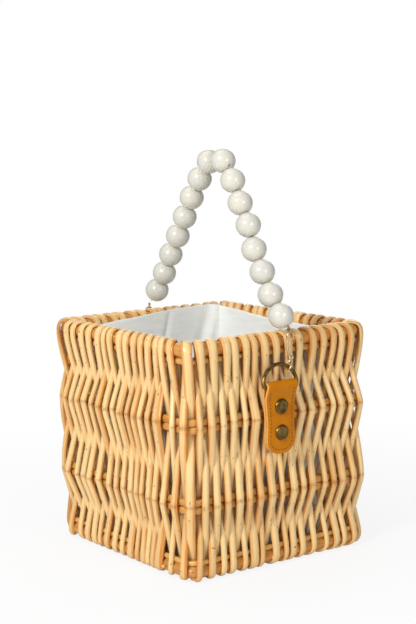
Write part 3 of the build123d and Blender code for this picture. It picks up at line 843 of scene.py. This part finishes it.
# %% Where the leather goes
strap_ply, strap_round, strap_crown = 2.2 * MM, 12.5 * MM, 0.35 * MM
strap_pinch, strap_waist = 9.0 * MM, 1.3 * MM
across_wall, out_of_wall = Vector((0, 1, 0)), Vector((1, 0, 0))


def side_frame(side):
    """Turns a place by the right wall into one by the given wall."""
    return Matrix.Identity(4) if side == "right" else Matrix.Rotation(math.pi, 4, "Z")


class FoldedStrap:
    """A strap's sizes, and where a length along it goes, as if it hung by the right wall."""

    def __init__(self, side):
        low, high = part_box(f"strap_{side}")
        joint = joints[f"ring_swing_{side}"]["pos_m"]
        self.wide, self.bottom = high.y - low.y, low.z
        self.bar_x, self.bar_z = abs(joint[0]), joint[2]
        self.back_x = min(abs(low.x), abs(high.x)) + strap_ply / 2
        self.front_x = self.back_x + strap_ply + 0.1 * MM
        self.radius = self.bar_x - self.back_x
        self.slant = Vector((self.front_x - self.bar_x - self.radius, 0, -strap_pinch))
        self.ply, self.fold = self.bar_z - self.bottom, math.pi * self.radius
        self.length = self.ply + self.fold + self.slant.length + (self.ply - strap_pinch)
        self.frame = Matrix.Translation((0, (low.y + high.y) / 2, 0)) @ side_frame(side)

    def place(self, went):
        """The place after a length from the back ply's end, and the way out of the leather."""
        if went < self.ply:
            return Vector((self.back_x, 0, self.bottom + went)), -out_of_wall
        went -= self.ply
        if went < self.fold:
            angle = math.pi - went / self.radius
            way = Vector((math.cos(angle), 0, math.sin(angle)))
            return Vector((self.bar_x, 0, self.bar_z)) + way * self.radius, way
        went -= self.fold
        if went < self.slant.length:
            start = Vector((self.bar_x + self.radius, 0, self.bar_z))
            normal = Vector((-self.slant.z, 0, self.slant.x)).normalized()
            return start + self.slant * (went / self.slant.length), normal
        down = self.bar_z - strap_pinch - (went - self.slant.length)
        return Vector((self.front_x, 0, down)), out_of_wall

    def waist(self, went):
        """How much of its width the strap has here: it narrows between foot and fold."""
        share = min(1.0, min(went, self.length - went) / (0.42 * self.length))
        return 1 - 2 * strap_waist / self.wide * math.sin(math.pi * share) ** 2

    def crown(self, across):
        """How far the front ply swells between its edges."""
        return strap_crown * (1 - (2 * across / self.wide) ** 2)


straps = {side: FoldedStrap(side) for side in ("right", "left")}
print("strap cut to", round(straps["right"].length / MM, 1))

# %% Straps
strap_rows, strap_columns = 90, (-0.36, -0.18, 0, 0.18, 0.36)


def cut_through(shape, place, way):
    bmesh.ops.bisect_plane(shape, geom=[*shape.verts, *shape.edges, *shape.faces],
                           plane_co=place, plane_no=way)


def make_strap(side, strap):
    length = strap.length
    shape = bmesh.new()
    plate = bmesh.ops.create_grid(shape, x_segments=1, y_segments=1, size=0.5)["verts"]
    bmesh.ops.scale(shape, vec=(length, strap.wide, 1), verts=plate)
    bmesh.ops.translate(shape, vec=(length / 2, 0, 0), verts=plate)
    bmesh.ops.bevel(shape, geom=list(shape.verts), offset=strap_round, segments=8, profile=0.5,
                    affect="VERTICES", material=-1)
    for i in range(1, strap_rows):
        cut_through(shape, (length * i / strap_rows, 0, 0), out_of_wall)
    for share in strap_columns:
        cut_through(shape, (0, strap.wide * share, 0), across_wall)
    for vert in shape.verts:
        went = vert.co.x
        across = vert.co.y * strap.waist(went)
        place, normal = strap.place(min(max(went, 0), length))
        crown = strap.crown(across) if went > length * 0.55 else 0
        vert.co = place + across_wall * across + normal * crown
    bmesh.ops.transform(shape, matrix=strap.frame, verts=shape.verts)
    bmesh.ops.recalc_face_normals(shape, faces=shape.faces)
    mesh = finished_mesh(shape, f"leather_strap_{side}", leather.material, leather_edge)
    piece = add_piece(mesh, "basket", [f"strap_{side}"])
    skin = piece.modifiers.new("thickness", "SOLIDIFY")
    skin.thickness, skin.offset, skin.material_offset_rim = strap_ply - 0.15 * MM, 0, 1
    worn = piece.modifiers.new("worn edge", "BEVEL")
    worn.width, worn.segments = 0.5 * MM, 3
    worn.limit_method, worn.angle_limit = "ANGLE", math.radians(50)
    print(mesh.name, "faces", len(mesh.polygons))


print("a strap is cut across", strap_rows - 1, "times")

# %% [markdown]
# One row of short stitches runs inside the edge of the front ply: down one side, round the foot
# and up the other. It could be a pattern in the leather's bump, but real thread stands out, so
# each stitch is a small flattened ball along the seam.

# %% Stitches
seam_inset, seam_step, seam_turns = 3.1 * MM, 0.4 * MM, 60
stitch_long, stitch_gap, stitch_wide, stitch_high = (x * MM for x in (2.5, 0.5, 0.5, 0.34))


def seam_line(strap):
    """The seam as close points of (across, height)."""
    half, round_off = strap.wide / 2 - seam_inset, strap_round - seam_inset
    foot = strap.bottom + seam_inset
    line = []
    height, width = strap.bar_z - 1.5 * MM, half - round_off
    while height > foot + round_off:
        line.append((half, height))
        height -= seam_step
    for i in range(seam_turns + 1):
        angle = math.pi / 2 * i / seam_turns
        line.append((half - round_off + round_off * math.cos(angle),
                     foot + round_off - round_off * math.sin(angle)))
    while width > 0:
        line.append((width, foot))
        width -= seam_step
    return line + [(-y, z) for y, z in reversed(line)]


def stitch_marks(line):
    """Where the stitches are along the seam, and how each one slopes."""
    went, target, marks = 0.0, 0.0, []
    for (y, z), (next_y, next_z) in zip(line, line[1:]):
        if went >= target:
            marks.append((y, z, math.atan2(next_z - z, next_y - y)))
            target += stitch_long + stitch_gap
        went += math.hypot(next_y - y, next_z - z)
    return marks


def make_stitches(side, strap):
    whole = bmesh.new()
    on_ply = Matrix((across_wall, up, out_of_wall)).transposed().to_4x4()
    size = Matrix.Diagonal((stitch_long / 2, stitch_wide, stitch_high, 1))
    marks = stitch_marks(seam_line(strap))
    for y, z, angle in marks:
        went = strap.length - (z - strap.bottom)
        across = y * strap.waist(went)
        place, normal = strap.place(went)
        out = strap_ply / 2 + strap.crown(across) - 0.12 * MM
        centre = Matrix.Translation(place + across_wall * across + normal * out)
        matrix = strap.frame @ centre @ on_ply @ Matrix.Rotation(angle, 4, "Z") @ size
        bmesh.ops.create_icosphere(whole, subdivisions=1, radius=1, matrix=matrix)
    mesh = finished_mesh(whole, f"stitches_{side}", thread)
    add_piece(mesh, "basket")
    print(mesh.name, len(marks))


for side, strap in straps.items():
    make_strap(side, strap)
    make_stitches(side, strap)

# %% [markdown]
# ## Antique brass
#
# The rivet caps and rings are plated brass that was darkened and rubbed bright again on its
# raised parts. A cap could be a squashed ball, but it is a turned shape with a dished face, so it
# is made as on a lathe, by spinning its half outline.

# %% Turned pieces
brass = Finish("antique_brass")
brass_place = brass.object_place()
brass_clouds = brass.noise(brass_place, 260.0, 4, 0.65)
brass_scratches = brass.noise(brass.stretched(brass_place, (300, 2600, 600)), 1.0, 3)
brass_rubbed = brass.level(brass_clouds, 0.35, 0.7)
brass.set(
    Base_Color=brass.mix(brass_rubbed, (0.11, 0.062, 0.014), (0.34, 0.22, 0.065)),
    Metallic=1.0, Roughness=0.2 + 0.2 * brass_clouds,
    Normal=brass.bump(brass_scratches * 0.6 + brass_clouds * 0.4, 0.0001, 0.35),
)


def turned(name, outline, centre, axis, steps, finish, body, replaces):
    """A piece turned on a lathe, from a half outline of (radius, distance along the axis)."""
    shape = bmesh.new()
    verts = [shape.verts.new((radius, 0, along)) for radius, along in outline]
    edges = [shape.edges.new(pair) for pair in zip(verts, verts[1:])]
    bmesh.ops.spin(shape, geom=verts + edges, cent=(0, 0, 0), axis=(0, 0, 1), dvec=(0, 0, 0),
                   angle=2 * math.pi, steps=steps, use_merge=True, use_duplicate=False)
    bmesh.ops.remove_doubles(shape, verts=shape.verts, dist=1e-6)
    bmesh.ops.recalc_face_normals(shape, faces=shape.faces)
    turn = axis.to_track_quat("Z", "Y").to_matrix().to_4x4()
    bmesh.ops.transform(shape, matrix=Matrix.Translation(centre) @ turn, verts=shape.verts)
    return add_piece(finished_mesh(shape, name, finish), body, replaces)


print("lathe ready")

# %% Rivets
rivet_rim, rivet_head, rivet_stem = 6.0 * MM, 1.9 * MM, 1.5 * MM
burr_hole, burr_flat, burr_rim, burr_round = (x * MM for x in (1.6, 3.9, 4.2, 0.2))
cap_face = ((0, 0.80), (0.40, 0.82), (0.66, 0.90), (0.80, 1), (0.91, 0.86), (1, 0.48),
            (0.985, 0.18), (0.94, 0))


def make_rivet(side, level):
    outward = out_of_wall if side == "right" else -out_of_wall
    low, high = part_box(f"rivet_{level}_{side}")
    reach = high.x - low.x - rivet_head
    level_place = Vector((0, (low.y + high.y) / 2, (low.z + high.z) / 2))
    outline = [(rivet_rim * radius, rivet_head * along) for radius, along in cap_face]
    outline += [(rivet_stem, 0), (rivet_stem, -reach), (0, -reach)]
    seat = outward * (max(abs(low.x), abs(high.x)) - rivet_head) + level_place
    cap = turned(f"rivet_cap_{level}_{side}", outline, seat, outward, 48, brass.material,
                 "basket", [f"rivet_{level}_{side}"])
    rounder = cap.modifiers.new("soft edges", "BEVEL")
    rounder.width, rounder.segments = 0.25 * MM, 2
    low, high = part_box(f"burr_{level}_{side}")
    thick = high.x - low.x
    washer = [(burr_hole, 0), (burr_flat, 0), (burr_rim, burr_round),
              (burr_rim, thick - burr_round), (burr_flat, thick), (burr_hole, thick),
              (burr_hole, 0)]
    seat = outward * min(abs(low.x), abs(high.x)) + level_place
    turned(f"rivet_burr_{level}_{side}", washer, seat, outward, 32, brass.material,
           "basket", [f"burr_{level}_{side}"])


for side in straps:
    for level in ("low", "high"):
        make_rivet(side, level)
print("rivets done")

# %% [markdown]
# ## Rings and clasps
#
# Rings, jump rings and hooks are bent wire. Blender's torus would do for a full ring only, so the
# line of each is worked out from the model's boxes and joints, and the rod maker sweeps a small
# circle along it.

# %% Wire rings
gold = clouded("gold_clasp", 500.0, 3, ((0.86, 0.66, 0.38), (0.74, 0.52, 0.26)), (0.2, 0.14),
               bump=(0.00008, 0.25), Metallic=1.0)
ring_wire, ring_size, ring_hook = 1.62 * MM, 16.3 * MM, 9.7 * MM
ring_lean = math.radians(9)
jump_wire, jump_size = 0.62 * MM, 3.2 * MM


def arc(centre, first, second, radius, angles):
    """Points on a circle, from its first way towards its second."""
    return [
        centre + first * (radius * math.cos(a)) + second * (radius * math.sin(a)) for a in angles
    ]


def round_ring(centre, first, second, radius, count):
    return arc(centre, first, second, radius, [2 * math.pi * i / count for i in range(count)])


def wire(name, points, square, radii, body, finish, replaces=(), closed=False, levels=2,
         turn=Matrix.Identity(4)):
    """Bent wire along points in one plane, square to a way."""
    if not hasattr(radii, "__len__"):
        radii = [radii] * len(points)
    places = [
        (turn @ point, turn @ square, 2 * radius, 2 * radius)
        for point, radius in zip(points, radii)
    ]
    mesh = rod_mesh(name, places, finish, closed=closed)
    return add_piece(mesh, body, replaces, levels)


def make_rings(side):
    turn = side_frame(side)
    start = turn.inverted() @ Vector(joints[f"ring_swing_{side}"]["pos_m"])
    rise = Vector((-math.sin(ring_lean), 0, math.cos(ring_lean)))
    face = rise.cross(-across_wall)
    points = [start + across_wall * (ring_size * k / 4) for k in (-3.2, -1.6, 0, 1.6, 3.2)]
    points += [start + across_wall * (ring_size - 1.0 * MM) - rise * 0.1 * MM]
    points += arc(start, across_wall, rise, ring_size, map(math.radians, range(6, 175, 12)))
    points += [start - across_wall * (ring_size - 1.0 * MM) - rise * 0.1 * MM]
    wire(f"half_round_ring_{side}", points, face, ring_wire, f"ring_{side}", brass.material,
         [f"ring_{side}"], closed=True, turn=turn)
    hand = 1 if side == "right" else -1
    out = across_wall * (hand * ring_hook) + rise * math.sqrt(ring_size**2 - ring_hook**2)
    out.normalize()
    centre = turn.inverted() @ (sum(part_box(f"jump_ring_{side}"), Vector()) / 2)
    wire(f"small_ring_{side}", round_ring(centre, out, face, jump_size, 16), out.cross(face),
         jump_wire, f"jump_ring_{side}", gold, [f"jump_ring_{side}"], closed=True, turn=turn)


for side in straps:
    make_rings(side)
print("rings done")

# %% [markdown]
# The clasp is a small cast hook with an eye below and a sprung gate that closes it. The hook is
# thickest above its neck and tapers to the tip, so each place along its wire has a width of its
# own. The neck is a block with rounded edges.

# %% Clasp sizes
eye_size, eye_wire = 1.7 * MM, 0.68 * MM
hook_wire, hook_wide = 1.0 * MM, 8.4 * MM
hook_taper = (0.95,) * 2 + (1.0,) * 6 + (0.92,) * 3 + (0.8,) * 3
neck_long, neck_wide, neck_deep = 3.6 * MM, 4.6 * MM, 3.0 * MM
pin_outline = [(0, -1.75), (0.5, -1.7), (0.62, -1.5), (0.62, 1.5), (0.5, 1.7), (0, 1.75)]
lever_sizes = [radius * MM for radius in (0.85, 0.75, 0.68, 0.62, 0.5)]
pin_aside = 1.1 * MM


def clasp_pin(side):
    return side_frame(side).inverted() @ Vector(joints[f"gate_{side}"]["pos_m"])


def clasp_middle(side):
    """The upright through a clasp's middle, at the height of the floor."""
    middle = side_frame(side).inverted() @ (sum(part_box(f"clasp_{side}"), Vector()) / 2)
    return Vector((middle.x, clasp_pin(side).y - pin_aside, 0))


def hook_line(half, crown, neck_z):
    """A hook's middle line as (across, height): up one side, over the crown, down to the tip."""
    neck_top = neck_z + neck_long
    line = [(-1.1 * MM, neck_z + 1.2 * MM), (-1.35 * MM, neck_top)]
    line += [(-half * 0.92, neck_top + 4 * MM), (-half, neck_top + 8 * MM)]
    for i in range(8):
        angle = math.pi * i / 7
        line.append((-half * math.cos(angle), crown + half * math.sin(angle)))
    return line + [(half - 0.15 * MM, crown - 1.4 * MM), (half - 0.3 * MM, crown - 2.9 * MM)]


def make_neck(name, body, centre, turn):
    shape = bmesh.new()
    size = Matrix.Diagonal((neck_deep, neck_wide, neck_long, 1))
    bmesh.ops.create_cube(shape, size=1, matrix=turn @ Matrix.Translation(centre) @ size)
    bmesh.ops.bevel(shape, geom=[*shape.edges], offset=0.8 * MM, segments=4, profile=0.5,
                    affect="EDGES", material=-1)
    add_piece(finished_mesh(shape, name, gold), body)


print("clasp wide", round(hook_wide / MM, 1))

# %% Clasps
def make_clasp(side):
    body, turn = f"clasp_{side}", side_frame(side)
    low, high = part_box(body)
    middle, pin = clasp_middle(side), clasp_pin(side)
    eye_z = low.z + eye_wire + eye_size
    neck_z = eye_z + eye_size
    half = hook_wide / 2 - hook_wire
    crown = high.z - hook_wire - half
    eye = round_ring(middle + up * eye_z, up, across_wall, eye_size, 12)
    wire(f"clasp_eye_{side}", eye, out_of_wall, eye_wire, body, gold, closed=True, turn=turn)
    hook = [middle + Vector((0, y, z)) for y, z in hook_line(half, crown, neck_z)]
    wire(f"clasp_hook_{side}", hook, out_of_wall, [hook_wire * share for share in hook_taper],
         body, gold, [body], turn=turn)
    make_neck(f"clasp_neck_{side}", body, middle + up * (neck_z + neck_long / 2), turn)
    turned(f"clasp_rivet_{side}", [(radius * MM, along * MM) for radius, along in pin_outline],
           turn @ pin, turn @ out_of_wall, 24, gold, body, [f"clasp_pin_{side}"])
    tip = middle + Vector((0, half - 0.3 * MM - hook_wire - 0.75 * MM, crown - 1.6 * MM))
    lever = [pin + (tip - pin) * share for share in (0, 0.25, 0.5, 0.75, 1)]
    wire(f"clasp_lever_{side}", lever, out_of_wall, lever_sizes, f"clasp_gate_{side}", gold,
         [f"clasp_gate_{side}"], turn=turn)


for side in straps:
    make_clasp(side)
print("clasps done")

# %% [markdown]
# ## Pearls
#
# Each bead is a moulded ball with a bore, coated with pearl lacquer. Blender's own sphere has no
# bore, so the half outline of a bored ball is spun round the string. The lacquer is creamy with
# faint cool and warm patches, and a clear coat gives the sharp highlight.

# %% Beads
pearl = clouded("pearl", 60.0, 2, ((0.70, 0.67, 0.565), (0.65, 0.635, 0.575)), (0.3, 0.06),
                Specular_IOR_Level=0.35, Coat_Weight=0.6, Coat_Roughness=0.05, Coat_IOR=1.5)
bead_nodes = sorted(n for n in frame["nodes"] if n.startswith("bead_") and n != "bead_wire")
bead_centres = [sum(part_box(name), Vector()) / 2 for name in bead_nodes]
pitches = [(b - a).length for a, b in zip(bead_centres, bead_centres[1:])]
bead_radius = sum(pitches) / len(pitches) / 2
hook_tops = {
    side: side_frame(side) @ (clasp_middle(side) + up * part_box(f"clasp_{side}")[1].z)
    for side in straps
}
string = [hook_tops["right"], *bead_centres, hook_tops["left"]]
bore, bead_steps = 1.1 * MM, 22
bore_angle = math.asin(bore / bead_radius)
angles = [bore_angle + (math.pi - 2 * bore_angle) * k / bead_steps for k in range(bead_steps + 1)]
in_bore = [(bore * 0.9, -bead_radius * 0.6), (bore * 0.9, bead_radius * 0.6)]
ball = [(bead_radius * math.sin(a), -bead_radius * math.cos(a)) for a in angles]
for i, name in enumerate(bead_nodes):
    axis = (string[i + 2] - string[i]).normalized()
    turned(name.replace("bead", "pearl"), [in_bore[0], *ball, in_bore[1], in_bore[0]],
           bead_centres[i], axis, 44, pearl, "handle", [name])
print("pearls", len(bead_nodes), "radius", round(bead_radius / MM, 2))

# %% [markdown]
# The beads hang on one coated wire, which ends in a small closed loop at each clasp. Its line
# goes through the points where the beads touch.

# %% Bead wire
wire_finish = clouded("wire", 900.0, 2, ((0.20, 0.085, 0.03), (0.34, 0.16, 0.06)), (0.35, 0.1),
                      sharpen=False, Metallic=0.6)
string_wire, loop_size, loop_gap = 0.5 * MM, 1.1 * MM, 0.45 * MM
ends = []
for side, hook, bead in (("right", *string[:2]), ("left", *string[:-3:-1])):
    way = (bead - hook).normalized()
    loop = hook + way * (loop_size + string_wire + loop_gap)
    across = way.cross(across_wall).normalized()
    wire(f"wire_loop_{side}", round_ring(loop, way, across, loop_size, 12), way.cross(across),
         string_wire, "handle", wire_finish, closed=True, levels=1)
    ends.append(loop + way * loop_size)
run = [ends[0], *[(a + b) / 2 for a, b in zip(bead_centres, bead_centres[1:])], ends[1]]
flat = (bead_centres[-1] - bead_centres[0]).cross(up).normalized()
wire("bead_string", run, flat, string_wire, "handle", wire_finish, ["bead_wire"], levels=1)
print("string of", len(run), "runs")

# %% [markdown]
# ## Studio
#
# A pale floor, white behind, a small strong lamp in front on the left and weaker, broader ones
# from the right, from above and from behind. More light could make the background white, but it
# would bleach the bag. So Light Path shows the camera a white world and a nearly white floor,
# while the light on the bag, and what metal and pearls reflect, is the lamps and a dim world.

# %% Floor
paper = Finish("paper")
paper.set(Base_Color=(0.82, 0.82, 0.82), Roughness=0.9)
away = paper.node("ShaderNodeVectorMath", {"operation": "LENGTH"}, {0: paper.object_place()},
                  out="Value")
whiteness = 0.86 + 0.14 * paper.level(away, 0.14, 0.5)
white = paper.node("ShaderNodeEmission", {}, {"Color": (1, 1, 1), "Strength": 1.0})
lit = Value(paper, paper.shader.outputs[0])
shown_floor = paper.mixed_light(paper.light_path("Is Camera Ray") * whiteness, lit, white)
paper.connect(paper.tree.nodes["Material Output"].inputs[0], shown_floor)
shape = bmesh.new()
bmesh.ops.create_grid(shape, x_segments=1, y_segments=1, size=6)
floor = bpy.data.objects.new("floor", finished_mesh(shape, "floor", paper.material))
bpy.context.scene.collection.objects.link(floor)
print("floor 12 m wide")

# %% World and lamps
world = bpy.data.worlds.new("studio")
bpy.context.scene.world = world
sky = Graph(world)
dim = sky.node("ShaderNodeBackground", {}, {"Color": (0.95, 0.97, 1.0), "Strength": 0.27})
bright = sky.node("ShaderNodeBackground", {}, {"Color": (1, 1, 1), "Strength": 1.0})
seen = sky.maths("MAXIMUM", *map(sky.light_path, ("Is Camera Ray", "Is Transmission Ray")))
sky.connect(sky.tree.nodes["World Output"].inputs[0], sky.mixed_light(seen, dim, bright))
lamps_look_at = Vector((0, 0, 0.15))


def lamp(name, place, size, watts):
    light = bpy.data.lights.new(name, "AREA")
    light.size, light.energy = size, watts
    thing = bpy.data.objects.new(name, light)
    thing.location = place
    thing.rotation_euler = (lamps_look_at - Vector(place)).to_track_quat("-Z", "Y").to_euler()
    bpy.context.scene.collection.objects.link(thing)


lamp("key", (0.45, -1.25, 0.85), 0.4, 16)
lamp("fill", (1.5, -0.1, 0.5), 0.6, 6)
lamp("top", (-0.3, -0.2, 1.5), 1.0, 5)
lamp("back", (-1.1, 1.1, 0.8), 1.0, 5)
print("studio ready")
